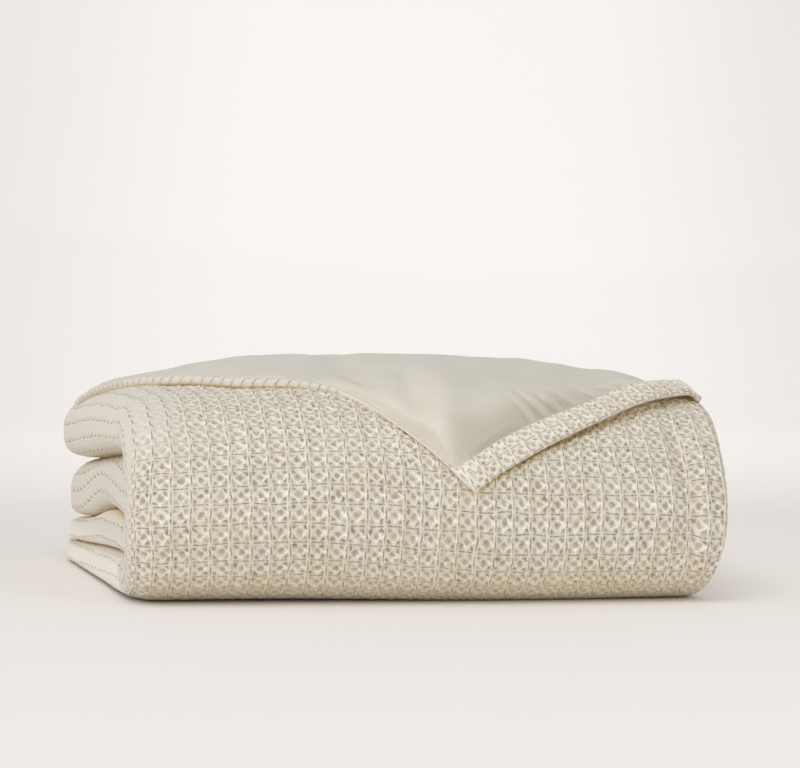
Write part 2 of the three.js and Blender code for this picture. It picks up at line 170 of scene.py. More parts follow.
def layer_height(layer, side, y):
    """A layer's low or high side at a depth: straight from front to back, with a dome on the top."""
    low_front, high_front, low_back, high_back = LAYERS[layer]
    t = np.clip((y - TOP_START_Y) / (BACK_FOLD_Y - TOP_START_Y), 0.0, 1.0)
    if side == "low":
        return lerp(low_front, low_back, t)
    dome = TOP_DOME * np.sin(math.pi * t) if layer == "top" else 0.0
    return lerp(high_front, high_back, t) + dome


def cuts(fold, t, a, b, right=0.0):
    """Cross-sections of the strip as rows of a's y and z, b's y and z, left and right reach, and the
    roundness of sides a and b."""
    left_from, left_to, right_from, right_to, *rounds = EDGES[fold]
    reach = [lerp(left_from, left_to, t), lerp(right_from, right_to, t) + right]
    return np.column_stack([*a, *b, *reach, *(np.full_like(t, k) for k in rounds)])


def flat_run(layer, a_side, b_side, a_from, a_to, b_from, b_to):
    """A flat layer between two depths."""
    t = np.linspace(0.0, 1.0, FLAT_STEPS)
    ya, yb = lerp(a_from, a_to, t), lerp(b_from, b_to, t)
    a = ya, layer_height(layer, a_side, ya)
    b = yb, layer_height(layer, b_side, yb)
    return cuts(layer, t, a, b)


def oval(angle, y, z, reach, up, down):
    """A half oval about (y, z): reach times the cosine, and up or down times the sine."""
    return y + reach * np.cos(angle), z + np.where(angle > 0, up, down) * np.sin(angle)


def pinch(below, above, y):
    """The height halfway between a layer and the one above it."""
    return (layer_height(below, "high", y) + layer_height(above, "low", y)) / 2


INNER_Z = pinch("third", "second", INNER_FOLD_Y)
INNER_REACH = INNER_FOLD_Y - (FRONT_Y + BAND_THICKNESS + LAYER_GAP)


def nose_fold():
    """The rounded front fold: two quarter ovals outside, a half oval round the inner fold inside. The
    right edge bulges halfway up and reaches further at the shoulder."""
    t = np.linspace(0.0, 1.0, NOSE_STEPS)[1:-1]
    angle = lerp(-QUARTER, QUARTER, t)
    depth = np.where(angle < 0, NOSE_LOW_DEPTH, NOSE_HIGH_DEPTH)
    a = oval(angle, FRONT_Y + depth, NOSE_Z, -depth, TOP_HEIGHT - NOSE_Z, NOSE_Z)
    up = layer_height("top", "low", INNER_FOLD_Y) - INNER_Z
    down = INNER_Z - layer_height("bottom", "high", INNER_FOLD_Y)
    b = oval(angle, INNER_FOLD_Y, INNER_Z, -INNER_REACH - LAYER_GAP, up, down)
    right = NOSE_BULGE * np.sin(math.pi * t) + RIGHT_SHOULDER * smooth(t, 0.72, 0.95)
    return cuts("nose", t, a, b, right)


def turned_fold(fold, steps, above, below, y, reach):
    """A fold from one layer down into the next: a half oval over both, round a narrow pivot between them.
    The oval is on side a at the back, and on side b at the front."""
    t = np.linspace(0.0, 1.0, steps)[1:-1]
    angle = lerp(QUARTER, -QUARTER, t)
    z, gap = pinch(below, above, y), LAYER_GAP / 2
    up, down = layer_height(above, "high", y) - z, z - layer_height(below, "low", y)
    outside = oval(angle, y, z, reach, up, down)
    pivot = oval(angle, y, z, math.copysign(gap, reach), gap, gap)
    return cuts(fold, t, *((outside, pivot) if reach > 0 else (pivot, outside)))


def free_end(last, keep):
    """A layer's free end: the kept side rolls over in a quarter oval down to the other side's level."""
    angle = np.linspace(0.0, QUARTER, END_STEPS)[1:]
    out = FREE_END_ROUND * np.sin(angle)
    inset = CORNER_ROUND * (1 - np.cos(angle))
    here, there = (last[0:2], last[2:4]) if keep == "a" else (last[2:4], last[0:2])
    rolled = np.column_stack([here[0] + out, lerp(there[1], here[1], np.cos(angle))])
    level = np.column_stack([there[0] + out, np.full_like(angle, there[1])])
    sides = (rolled, level) if keep == "a" else (level, rolled)
    rest = np.broadcast_to(last[6:8], (len(angle), 2))
    return np.column_stack([*sides, last[4] - inset, last[5] - inset, rest])


def evened(rows, side, spread):
    """A section at even steps of 1 mm along one side, averaged over a spread to soften its joints."""
    at = 0 if side == "a" else 2
    steps = np.hypot(*np.diff(rows[:, at : at + 2], axis=0).T)
    run = np.concatenate([[0.0], np.cumsum(steps)])
    even = np.arange(0.0, run[-1], 1.0)
    rows = np.column_stack([np.interp(even, run, column) for column in rows.T])
    weights = hump(np.arange(-3 * spread, 3 * spread + 1), 0.0, spread * 1.4)
    padded = np.pad(rows, ((3 * spread, 3 * spread), (0, 0)), mode="reflect", reflect_type="odd")
    soft = [np.convolve(column, weights / weights.sum(), "valid") for column in padded.T]
    return np.column_stack(soft)


second_run = flat_run("second", "low", "high", FREE_END_Y, INNER_FOLD_Y, FREE_END_Y, INNER_FOLD_Y)
third_run = flat_run("third", "high", "low", INNER_FOLD_Y, BACK_FOLD_Y, INNER_FOLD_Y, BACK_FOLD_Y)
bottom_run = flat_run(
    "bottom", "low", "high", BACK_FOLD_Y, FRONT_Y + NOSE_LOW_DEPTH, BACK_FOLD_Y, INNER_FOLD_Y
)
top_run = flat_run("top", "high", "low", TOP_START_Y, FREE_END_Y, INNER_FOLD_Y, FREE_END_Y)
back_fold = turned_fold("back", BACK_STEPS, "third", "bottom", BACK_FOLD_Y, BACK_Y - BACK_FOLD_Y)
inner_fold = turned_fold("inner", INNER_STEPS, "second", "third", INNER_FOLD_Y, -INNER_REACH)

# The outer strip starts inside the third layer's end, so that its sheet and the inner one overlap there
tucked = third_run[-14:-1] + np.array([0.0, -TUCK, 0.0, TUCK, -TUCK, -TUCK, 0.0, 0.0])
outer_strip = evened(
    np.vstack([tucked, back_fold, bottom_run, nose_fold(), top_run, free_end(top_run[-1], "a")]), "a", 5
)
inner_strip = evened(
    np.vstack([free_end(second_run[0], "b")[::-1], second_run, inner_fold, third_run]), "b", 3
)
from_start = np.abs(outer_strip[:, 0] - (FRONT_Y + NOSE_LOW_DEPTH + FRONT_LAP)) + outer_strip[:, 1]
NOSE_START = int(np.argmin(from_start))


def settled(x, y, z):
    """The stack's own sag, as points. It is lower towards both ends and at the back of the left end, and
    its front bulges in the middle. At the left end the folds between the layers stand higher or lower
    towards the front, and the one between the second and third layers arches up halfway along. The top's
    crest, its left shoulder and the front of its right end stand a little prouder."""
    sag = LEFT_SAG * smooth(-x, 60, HALF_LENGTH) * smooth(y, -120, BACK_Y)
    from_middle = (x / HALF_LENGTH) ** 2
    z = z * (1 - CROWN * from_middle - sag / TOP_HEIGHT)
    y = y - FRONT_BULGE * (1 - from_middle) * smooth(-y, -40, 120)
    left_end = smooth(-x, 140, 200)
    raised = LEFT_RAISE * hump(z, UPPER_FOLD_Z, 28) - LEFT_LOWER * hump(z, LOWER_FOLD_Z, 20)
    raised = raised * smooth(y, -150, -118) * lerp(1.0, 0.3, smooth(y, -110, 60))
    arch = LEFT_ARCH * hump(y, ARCH_Y, 58) * (hump(z, ARCH_Z, 18) + 0.3 * hump(z, UPPER_FOLD_Z - 1, 9))
    droop = LEFT_DROOP * smooth(-x, 120, 225) * smooth(z, 90, 150) * smooth(y, -110, 40)
    shoulder = LEFT_SHOULDER * smooth(-x, 110, 185)
    crest = CREST_LIFT * smooth(y, -90, 0) * (1 - smooth(x, 90, 150))
    right = RIGHT_RAISE * smooth(x, 105, 165) * (1 - smooth(y, -60, 20))
    proud = (shoulder + crest + right) * smooth(z, 95, 135)
    return np.stack([x, y, z + left_end * (raised + arch) - droop + proud], axis=-1)


# The weave, and meshes from grids


def normals_of(points):
    """Unit normals of a grid: the cross product of its differences along columns and rows."""
    along = np.gradient(points, axis=0)
    across = np.gradient(points, axis=1)
    n = np.cross(across, along)
    return n / np.maximum(np.linalg.norm(n, axis=-1, keepdims=True), 1e-9)


def spans(points):
    """Distances run along each row of a grid, starting at 0."""
    steps = np.linalg.norm(np.diff(points, axis=1), axis=-1)
    return np.insert(np.cumsum(steps, axis=1), 0, 0.0, axis=1)


def woven(u, v):
    """Cell coordinates of the weave, pushed about a little so that no two cells are quite alike."""
    across = 0.14 * (lattice(u * 0.8, v * 0.8, 4) - 0.5) + 0.08 * (lattice(u / 5, v / 3, 5) - 0.5)
    along = 0.14 * (lattice(u * 0.8, v * 0.8, 6) - 0.5) + 0.1 * (lattice(u / 6, v / 4, 7) - 0.5)
    return u + across, v + along


def row_number(across_mm, up):
    """Row coordinate of the weave at a run up the front: the rows fall a little from left to right."""
    fall = lerp(10.0, 6.0, smooth(up, 60, 130)) * smooth(across_mm, -100, 60)
    return np.interp(up + fall, ROW_RUNS, ROW_NUMBERS)


def waffle(u, v):
    """Height of the weave, in mm, over cell coordinates: an oval hollow in the middle of each cell, a
    dimple in each of its corners, a furrow between rows, broken by the cord between columns."""
    i, j = np.floor(u), np.floor(v)
    p, q = u - i - 0.5, v - j - 0.5
    hollow = np.exp(-(((p - 0.02) / 0.17) ** 2) - (q / 0.18) ** 2) * (0.7 + 0.6 * speckle(i, j, 3))
    corner = speckle(2 * i + (p > 0), 2 * j + (q > 0), 8)
    dimple = hump(np.abs(p), 0.30, 0.1) * hump(np.abs(q), 0.29, 0.105) * (0.6 + 0.7 * corner)
    cord = hump(np.abs(p), 0.5, 0.1)
    furrow = hump(np.abs(q), 0.5, 0.08) * (1 - cord)
    return CORD_RISE * cord - HOLLOW_DEPTH * hollow - DIMPLE_DEPTH * dimple - FURROW_DEPTH * furrow


def sheet_mesh(name, points, uv, depth, plain, normal, material):
    """A mesh object from a grid of points in mm: one quad between each four neighbours, a UV map of the
    weave, and attributes for each point's painted shade, or painted light below 0, and how plainly woven it
    is."""
    rows, columns = points.shape[:2]
    index = np.arange(rows * columns).reshape(rows, columns)
    corners = index[:-1, :-1], index[:-1, 1:], index[1:, 1:], index[1:, :-1]
    quads = np.stack(corners, axis=-1).reshape(-1, 4)
    mesh = bpy.data.meshes.new(name)
    mesh.vertices.add(rows * columns)
    mesh.vertices.foreach_set("co", ((points - MIDDLE) / 1000.0).astype(np.float32).ravel())
    mesh.loops.add(quads.size)
    mesh.loops.foreach_set("vertex_index", quads.astype(np.int32).ravel())
    mesh.polygons.add(len(quads))
    mesh.polygons.foreach_set("loop_start", np.arange(0, quads.size, 4, dtype=np.int32))
    mesh.update(calc_edges=True)
    mesh.polygons.foreach_set("use_smooth", np.ones(len(quads), dtype=bool))
    layer = mesh.uv_layers.new(name="weave")
    layer.data.foreach_set("uv", uv.reshape(-1, 2)[quads.ravel()].astype(np.float32).ravel())
    for attribute, values in (("painted_shade_and_light", depth), ("plain", plain)):
        made = mesh.attributes.new(attribute, "FLOAT", "POINT")
        made.data.foreach_set("value", np.broadcast_to(values, (rows, columns)).astype(np.float32).ravel())
    mesh.validate()
    if normal is not None:
        mesh.normals_split_custom_set_from_vertices(normal.reshape(-1, 3).tolist())
    obj = bpy.data.objects.new(name, mesh)
    bpy.context.scene.collection.objects.link(obj)
    mesh.materials.append(material)
    return obj


# The plies wrapped round the strip


def ring(middle_step):
    """Positions round a strip, from inside the fold at the left end to inside it at the right end, as
    rows of turn, share across the flat middle, and inset along the inner face."""
    end = np.linspace(-math.pi, 0.0, int(END_LENGTH / END_STEP) + 1)
    flat = np.linspace(0.0, 1.0, int(FLAT_LENGTH / middle_step) + 1)[1:-1]
    inset = np.linspace(INNER_WRAP, 0.0, 4)[:-1]
    turn = np.concatenate([0 * inset - math.pi, end, 0 * flat, -end[::-1], 0 * inset + math.pi])
    share = np.concatenate([0 * inset, 0 * end, flat, 0 * end + 1, 0 * inset + 1])
    return turn, share, np.concatenate([inset, 0 * end, 0 * flat, 0 * end, -inset[::-1]])


def end_rounds(thick):
    """How far the left and right ends of a strip are rounded, from its thickness."""
    return np.maximum(thick * LEFT_SHAPE, LEAST_ROUND), np.maximum(thick * RIGHT_SHAPE, LEAST_ROUND)


def wrapped(strip, at, columns, outer):
    """Points of a cloth wrapped round the strip at runs along it. The section's middle plus half its
    thickness times the cosine of the turn, and the flat's edge plus the end's round times the sine."""
    turn, share, inset = columns
    cut = np.column_stack([np.interp(at, np.arange(len(strip)), column) for column in strip.T])
    out, back = (cut[:, 0:2], cut[:, 2:4]) if outer == "a" else (cut[:, 2:4], cut[:, 0:2])
    middle, half = (out + back) / 2, (out - back) / 2
    thick = 2 * np.hypot(*half.T)[:, None]
    left, right = end_rounds(thick)
    x = lerp(-cut[:, 4, None] + left, cut[:, 5, None] - right, share)
    x = x + np.where(turn < 0, left, right) * np.sin(turn) + inset
    near, far = (cut[:, k, None] for k in ((6, 7) if outer == "a" else (7, 6)))
    side = np.cos(turn)
    power = np.where(side > 0, near, far) * np.where(turn > 0, RIGHT_SQUARE, 1.0)
    side = np.sign(side) * np.abs(side) ** power
    side = side * np.where(side < 0, 1 + 2 * SWELL[outer] / thick, 1.0)
    y = middle[:, 0, None] + half[:, 0, None] * side
    z = middle[:, 1, None] + half[:, 1, None] * side
    return settled(x, y, z)


def plainness(turn, high, across_mm, outside):
    """How plainly woven a ply shows, 0 to 1: fully round the strip's ends, half of that next to the floor,
    and mostly over the top's left shoulder."""
    bare = np.where(turn > 0, 1.0, lerp(0.9, 0.5, smooth(high, 60, 115))) if outside else 0.3
    plain = np.maximum(smooth(np.abs(turn) - bare, 0.0, 0.6), 0.5 * (1 - smooth(high, 3, 20)))
    return np.maximum(plain, 0.85 * smooth(-across_mm, 148, 184) * smooth(high, 85, 122))


def ply_painted_shade(turn, high, raised_high):
    """Painted shade on a ply, from how deep in a fold it lies: 1 round the far side of the strip's ends,
    about half next to the floor, and below 0, painted paler, low down on the left end."""
    near_floor = (1 - smooth(raised_high, 2, 40)) * (1 - smooth(np.abs(turn), 0.4, 1.0))
    depth = np.maximum(smooth(np.abs(turn), 2.0, 3.0), 0.55 * near_floor)
    return depth - 0.7 * (1 - smooth(high, 16, 40)) * hump(turn, -1.6, 0.6)


def cover_sheet(name, strip, at, columns, outer, material, creases=None, shaded=None, pressed=None):
    """One visible ply of the cover at runs along the strip: the wrapped cloth raised by the weave along
    its own normals. Its columns are counted from the middle and, towards the left, from the left edge.
    The first and last runs only lend their normals to the borders."""
    turn, share, _ = columns
    points = wrapped(strip, at, columns, outer)
    high = points[..., 2]
    centre = int(np.argmin(np.abs(turn) + np.abs(share - 0.5)))
    left_tip = int(np.argmin(np.abs(turn + QUARTER)))
    run = spans(points)
    across_mm = run - run[:, centre, None] + points[:, centre, 0, None]
    u = across_mm + (LEFT_EDGE_RUN - across_mm[:, left_tip, None]) * smooth(-across_mm, 40, 190)
    u, v = woven((u - FIRST_COLUMN) / CELL_WIDE, row_number(u, at[:, None] - NOSE_START))
    out = 1.0 if outer == "a" else -1.0
    plain = plainness(turn, high, across_mm, out > 0)
    lift = waffle(u, v) * (1 - 0.95 * plain)
    if pressed is not None:
        lift = lift - pressed(at[:, None], turn, share)
    if creases is not None:
        lift = lift + creases(points)
    points = points + normals_of(points) * (lift * out)[..., None]
    points[..., 2] = np.maximum(points[..., 2], 0.05)
    # Painted shade deep in the folds and next to the floor, painted paler low on the left end; then painted
    # shadow in the crook under the ply's free edge, and the upper front painted paler
    depth = ply_painted_shade(turn, high, points[..., 2])
    if shaded is not None:
        depth = np.maximum(depth, shaded(at[:, None], across_mm) * (1 - smooth(np.abs(turn), 0.5, 0.9)))
        depth = depth - 0.24 * smooth(high, 80, 120) * (1 - np.clip(2 * depth, 0, 1))
    grids = points, np.stack([u, v], axis=-1), depth, plain, normals_of(points) * out
    grids = [grid[1:-1] if out > 0 else grid[1:-1, ::-1] for grid in grids]
    return sheet_mesh(name, *grids, material)


def front_creases(points):
    """Soft unevenness of the front, in mm: an upright trough beside the right end that fades at its top,
    with the cloth raised beyond it, and broad low swells over the whole front."""
    x, y, z = np.moveaxis(points, -1, 0)
    trough = hump(x, CREASE_X + CREASE_LEAN * (CREASE_Z - z), CREASE_WIDTH)
    right = -CREASE_DEPTH * trough + END_RISE * smooth(x, 170, 184)
    right = right * smooth(z, 10, 50) * (1 - 0.75 * smooth(z, 108, 126))
    swell = BROAD_SWELL * np.sin(x / 41 + 0.8) * np.sin(z / 37 + 0.4)
    swell = swell + SLANT_SWELL * np.sin(x / 67 - z / 29)
    return right + swell * smooth(-y, 20, 80)


# The turned-back ply: places on it are a share across and a run along the way that it lies


def lay_way():
    """The way of the turned-back ply: up the top layer's free end, over the top and down the front, as
    rows of run, y, z, normal's y and z, half thickness, left and right reach."""
    front = outer_strip[NOSE_START:]
    past_floor = np.arange(len(front)) > 40
    kept = front[(front[:, 1] > CORNER_Z - WAY_BELOW) & past_floor][::-1]
    tuck = np.repeat(kept[:1], TUCK_ROWS, axis=0)
    tuck[:, 0] -= np.arange(TUCK_ROWS, 0, -1)
    kept = np.vstack([tuck, kept])
    y, z = kept[:, 0], kept[:, 1]
    even = np.ones(9) / 9
    steps = np.pad(np.gradient(y), 4, mode="edge"), np.pad(np.gradient(z), 4, mode="edge")
    along = np.column_stack([np.convolve(step, even, "valid") for step in steps])
    normal = np.column_stack([along[:, 1], -along[:, 0]]) / np.hypot(*along.T)[:, None]
    run = np.concatenate([[0.0], np.cumsum(np.hypot(np.diff(y), np.diff(z)))])
    half = np.maximum(np.hypot(kept[:, 0] - kept[:, 2], kept[:, 1] - kept[:, 3]) / 2, FREE_END_ROUND)
    return np.column_stack([run, y, z, normal, half, kept[:, 4], kept[:, 5]])


WAY = lay_way()
CORNER_RUN = float(np.interp(-CORNER_Z, -WAY[-FRONT_ROWS:, 2], WAY[-FRONT_ROWS:, 0]))


def way_run(at):
    """The run along the way at a run along the outer strip, which the way follows backwards."""
    return len(outer_strip) - 1 + TUCK_ROWS - at


def way_at(run):
    """The way's values at a distance along it, with the round of its ends and the flat between them."""
    y, z, ny, nz, half, left, right = (np.interp(run, WAY[:, 0], column) for column in WAY[:, 1:].T)
    left_round, right_round = end_rounds(2 * half)
    size = np.hypot(ny, nz)
    flats = -left + left_round, right - right_round
    return y, z, ny / size, nz / size, half, left_round, right_round, *flats


def across(share, run):
    """Distance across for a share of the strip's reach: inside its edges at the back, past them on top."""
    *_, half, left_round, right_round, left_flat, right_flat = way_at(run)
    past_end = smooth(run, 10, TAIL_RUN)
    left = left_flat - lerp(TAIL_TURN, LEFT_TURN, past_end) * (half + left_round) / 2
    right = right_flat + lerp(TAIL_TURN, RIGHT_TURN, past_end) * (half + right_round) / 2
    return np.where(share < 0, -share * left, share * right)


CORNER_ACROSS = float(across(np.array(CORNER_SHARE), np.array(CORNER_RUN)))


def edge_at(w):
    """Run of the turned-back ply's slanting free edge at a distance across: straight on both sides of the
    corner, with bows on the left, where it runs back over the left end."""
    past = CORNER_ACROSS - w
    bow = sum(size * hump(past, middle, width) for size, middle, width in EDGE_BOWS)
    bow = bow - EDGE_RETURN * smooth(past, 200, 240)
    return CORNER_RUN + bow - np.where(past > 0, past * LEFT_SLOPE, -past * RIGHT_SLOPE)


def edge_run(share):
    """Where a column of the turned-back ply reaches its free edge, found by repeated steps."""
    run = np.full_like(share, CORNER_RUN)
    for _ in range(6):
        run = edge_at(across(share, run))
    return run


def edge_slope(share):
    """Run along a column for each mm of distance from the free edge that it crosses."""
    return np.where(share < CORNER_SHARE, LEFT_SLANT, RIGHT_SLANT)


def painted_shadow_under_edge(at, w):
    """Painted shadow on the front in the crook below the turned-back ply's free edge: a narrow hump
    along the edge, fainter under the rolled edge and towards the hem's right end."""
    size = lerp(0.6, 1.24, smooth(w - CORNER_ACROSS, -20, 15)) - 0.4 * smooth(w, 105, 150)
    middle = lerp(-2.0, 0.0, smooth(w - CORNER_ACROSS, 0, 40))
    return size * hump(way_run(at) - edge_at(w), middle, 4.5) * smooth(at - NOSE_START, 40, 60)


def under_panel(at, turn, share):
    """How far the top ply is pressed in under the smooth panel, in mm: fully inside its borders."""
    run = way_run(at)
    *_, half, left_round, right_round, left_flat, right_flat = way_at(run)
    past_flat = turn * (half + np.where(turn < 0, left_round, right_round)) / 2
    w = lerp(left_flat, right_flat, share) + past_flat
    left, right = across(np.array(-1.0), run), across(np.array(1.0), run)
    return PLY_SINK * smooth(w - left, 0, 8) * smooth(right - w, 0, 8) * smooth(edge_at(w) - run, 24, 44)


def border_size(share):
    """Width and thickness of the hem or the rolled edge down a column. The roll thins to the corner, and
    its left end is rounded off."""
    past = CORNER_ACROSS - across(share, edge_run(share))
    on_roll = smooth(past, 40, 130)
    roll = lerp(TIP_WIDTH, ROLL_WIDTH, on_roll)
    hem = HEM_WIDTH * RIGHT_SLANT - (LEFT_SLOPE + RIGHT_SLOPE) * past
    width = np.maximum(roll, hem / LEFT_SLANT)
    thick = lerp(lerp(TIP_THICK, ROLL_THICK, on_roll), HEM_THICK, smooth(width, 8, 14))
    left = share < CORNER_SHARE
    cap = np.sqrt(1 - np.clip((-share - 0.95) / 0.05, 0, 1) ** 2)
    return np.where(left, width, HEM_WIDTH), np.where(left, thick * cap, HEM_THICK)


def ply_gap(share):
    """How far the ply lies off the stack at its free edge: the rolled edge beds into the cloth."""
    return PLY_GAP - ROLL_BED * smooth(CORNER_ACROSS - across(share, edge_run(share)), 20, 90)


def to_hem(w, run):
    """Distance from the hem's free edge, and distance along that edge from the corner."""
    back, side = CORNER_RUN - run, w - CORNER_ACROSS
    return (back - RIGHT_SLOPE * side) / RIGHT_SLANT, (side + RIGHT_SLOPE * back) / RIGHT_SLANT


def along_roll(w, run):
    """Distance along the rolled edge on the left, from the corner."""
    back, side = CORNER_RUN - run, CORNER_ACROSS - w
    return (side + LEFT_SLOPE * back) / LEFT_SLANT


def flap_point(share, run, off):
    """A point held off the stack's skin: the way's point, bent round the ends past the flat, moved out
    along the skin's normal. The hem and its seam stand higher towards their right end."""
    y, z, ny, nz, half, left_round, right_round, left_flat, right_flat = way_at(run)
    w = across(share, run)
    flat = np.clip(w, left_flat, right_flat)
    round_ = np.where(w < flat, left_round, right_round)
    turn = (w - flat) * 2 / (half + round_)
    power = TOP_ROUND * np.where(w < flat, 1.0, RIGHT_SQUARE)
    drop = half * (1 - np.cos(turn) ** power)
    lean = np.cos(turn) ** (2 - power) / (half * power)
    out = np.stack([np.sin(turn) / round_, ny * lean, nz * lean], axis=-1)
    out /= np.linalg.norm(out, axis=-1, keepdims=True)
    near, _ = to_hem(w, run)
    lift = HEM_LIFT * smooth(w, CORNER_ACROSS + 30, 160) * (1 - smooth(near, 5, 70))
    lift = lift * (1 - smooth(turn, 0.0, 0.6))
    seam = SEAM_LIFT * smooth(w, 95, 150) * (1 - smooth(turn, 0.1, 0.6)) * hump(near, HEM_WIDTH, 14)
    base = np.stack([flat + round_ * np.sin(turn), y - ny * drop, z - nz * drop], axis=-1)
    at = base + out * (off + lift + seam)[..., None]
    return settled(at[..., 0], at[..., 1], at[..., 2])


def hem_sheet(material):
    """The waffle border of the turned-back ply as one sheet: from under the ply out to its free edge,
    round the edge in a half oval, back over the top of the hem or roll, and down under the smooth panel.
    The hem carries the weave, and the roll is plain with a dent at each stitch."""
    roll_shares, hem_shares = np.linspace(-1, CORNER_SHARE, 300), np.linspace(CORNER_SHARE, 1, 240)[1:]
    share = np.concatenate([roll_shares, hem_shares])[:, None]
    width, thick = border_size(share)
    radius = np.minimum(thick, width) / 2
    inner = np.maximum(width - SEAM_INSET, radius)
    under, over = np.linspace(1.0, 0.0, 9)[None, :-1], np.linspace(0.0, 1.0, 34)[None, :]
    turn, tuck = np.linspace(-QUARTER, QUARTER, 14)[None, :-1], np.linspace(0.0, 1.0, 7)[None, 1:]
    below = radius + under * (width + HEM_UNDER - radius)
    above = np.concatenate([lerp(radius, inner, over), inner + tuck * HEM_TUCK], axis=1)
    near = np.concatenate([below, radius - radius * np.cos(turn), above], axis=1)
    bent = radius * (1 + turn - QUARTER)
    around = np.concatenate([-below - (math.pi - 2) * radius, bent, above], axis=1)
    side = np.concatenate([0 * under - 1, np.sin(turn), 0 * over + 1, 0 * tuck + 1], axis=1)
    tucked_in = 1 - 1.1 * smooth(tuck, 0.0, 0.6)
    rise = np.concatenate([0 * under, 0.5 + 0.5 * np.sin(turn), 1 + 0 * over, tucked_in], axis=1)

    run = edge_run(share) - near * edge_slope(share)
    shares = np.broadcast_to(share, run.shape)
    w = across(shares, run)
    near_hem, along_hem = to_hem(w, run)
    roll_run = along_roll(w, run)
    short = shares < CORNER_SHARE
    on_hem = ~short | (near_hem < HEM_WIDTH + 1)
    u = np.where(on_hem, along_hem / HEM_PITCH, np.maximum(roll_run / ROLL_PITCH, FIRST_STITCH))
    v = np.where(on_hem, np.where(short, near_hem, around) / HEM_CELL, 0.25 + 0.5 * around / ROLL_WIDTH)
    edge = 1 - np.where(short, smooth(near, 0.8, 2.2) * (side > -0.5), smooth(side, -0.7, 0.1))
    plain = np.where(on_hem, edge, 1.0)
    weave = 0.95 * waffle(u, v) * (1 - plain) * smooth(width - near, 0.2, 2.0)
    stitch = hump(np.mod(u, 1.0), 0.5, 0.12) * (side > 0) * smooth(width - near, 0.0, 1.5)
    lift = weave - np.where(on_hem, 0.0, STITCH_DEPTH * stitch)
    points = flap_point(shares, run, ply_gap(share) + thick * rise)
    points = points - normals_of(points) * lift[..., None]
    # Painted shade: the undersides of the roll and the hem are painted darker, and their tops paler, the
    # hem's more so towards its seam
    rim = np.clip(0.35 - side, lerp(-1.1, -0.45, smooth(roll_run, 90, 150)), 0.8)
    depth = np.where(on_hem, np.where(side < 0, -side, -0.3 - 0.6 * near / width), rim)
    grids = points, np.stack([u, v], axis=-1), depth, plain, -normals_of(points)
    return sheet_mesh("hem", *(grid[:, ::-1] for grid in grids), material)


def panel_folds(w, run):
    """Lie of the smooth panel, in mm: a sharp ridge that rises from the corner and leans right, a trough
    to its left, a thin crease further left, a dip on each side further back, a broad bulge behind the
    corner, puckers square to the hem's seam, broad swells, and a dip along the seam."""
    near, along = to_hem(w, run)
    side, back = w - CORNER_ACROSS, CORNER_RUN - run
    off = side - (0.135 * (back - 32) - 20)
    round_ = np.hypot(1.4, 0.1 * back)
    ridge = PANEL_RIDGE * np.exp((round_ - np.hypot(off, round_)) / np.where(off < 0, 22.0, 34.0))
    ridge = ridge * smooth(back, 16, 40) * (1 - smooth(back, 60, 170))
    trough = PANEL_TROUGH * hump(side, -37 + 0.04 * back, 7)
    trough = trough * smooth(back, 36, 66) * (1 - smooth(back, 110, 150))
    crease = PANEL_CREASE * hump(side + 0.1 * back, -52, 6) * hump(back, 112, 34)
    left_dip = LEFT_DIP * hump(side, -62, 14) * hump(back, 202, 70)
    right_dip = RIGHT_DIP * hump(side, 35, 11) * hump(back, 300, 40)
    bulge = PANEL_BULGE * hump(side, -6, 55) * hump(back, 105, 60)
    wave = along / 2.5 + 1.5 * np.sin(along / 12.0)
    pucker = np.sin(wave) + 0.3 * np.sin(2 * wave + 0.8)
    pucker = PUCKER * pucker * (0.25 + 1.8 * lattice(along / 11, near / 16, 12) ** 2)
    pucker = pucker * hump(near, 27, 15) * smooth(along, 50, 80) * (1 - smooth(along, 150, 190))
    pucker = np.maximum(pucker, -PUCKER_FLOOR)
    swell = PANEL_SWELL * (lattice(w / 45, run / 60, 9) + lattice(w / 24 + run / 90, run / 70, 10) - 1.0)
    seam = SEAM_DIP * hump(near, 24, 5) * smooth(along, 10, 40)
    return bulge + ridge - trough - crease - left_dip - right_dip + pucker + swell - seam


def panel_sheet(material):
    """The smooth panel: from under the hem and the roll, up over the top, down into the back fold. It
    starts a small step below the top of the hem or roll, and its two ends sink to the cloth below. It
    carries painted shade beside the hem's seam."""
    share = np.linspace(-1, 1, 320)[:, None]
    start, slope = edge_run(share), edge_slope(share)
    width, thick = border_size(share)
    t = np.linspace(0.0, 1.0, 260)[None, :] ** 1.2
    run = lerp(start - (width - PANEL_TUCK) * slope, PANEL_END_RUN, t)
    shares = np.broadcast_to(share, run.shape)
    w = across(shares, run)
    inside = (start - run) / slope - width
    off = lerp(ply_gap(share) + thick - SEAM_STEP, PANEL_OFF, smooth(inside, -1.5, 9.0))
    off = off + panel_folds(w, run) * smooth(inside, 0.0, 3.0) * smooth(run, 50, 110)
    left_end = smooth(-share, 0.9, 1.0) * smooth(inside, 0.0, 10.0)
    right_end = smooth(share, 0.8, 1.0) * smooth(inside, 0.0, 24.0)
    points = flap_point(shares, run, off - END_SINK * (left_end + right_end))
    near, along = to_hem(w, run)
    # Painted shade beside the hem's seam
    shade = (1 - smooth(near - HEM_WIDTH, 2, 30)) * smooth(along, -8, 14) * (1 - smooth(along, 90, 190))
    grids = points, np.stack([w, run], axis=-1) / 10.0, shade, 0 * run, -normals_of(points)
    return sheet_mesh("smooth_sheet", *(grid[:, ::-1] for grid in grids), material)


# Materials


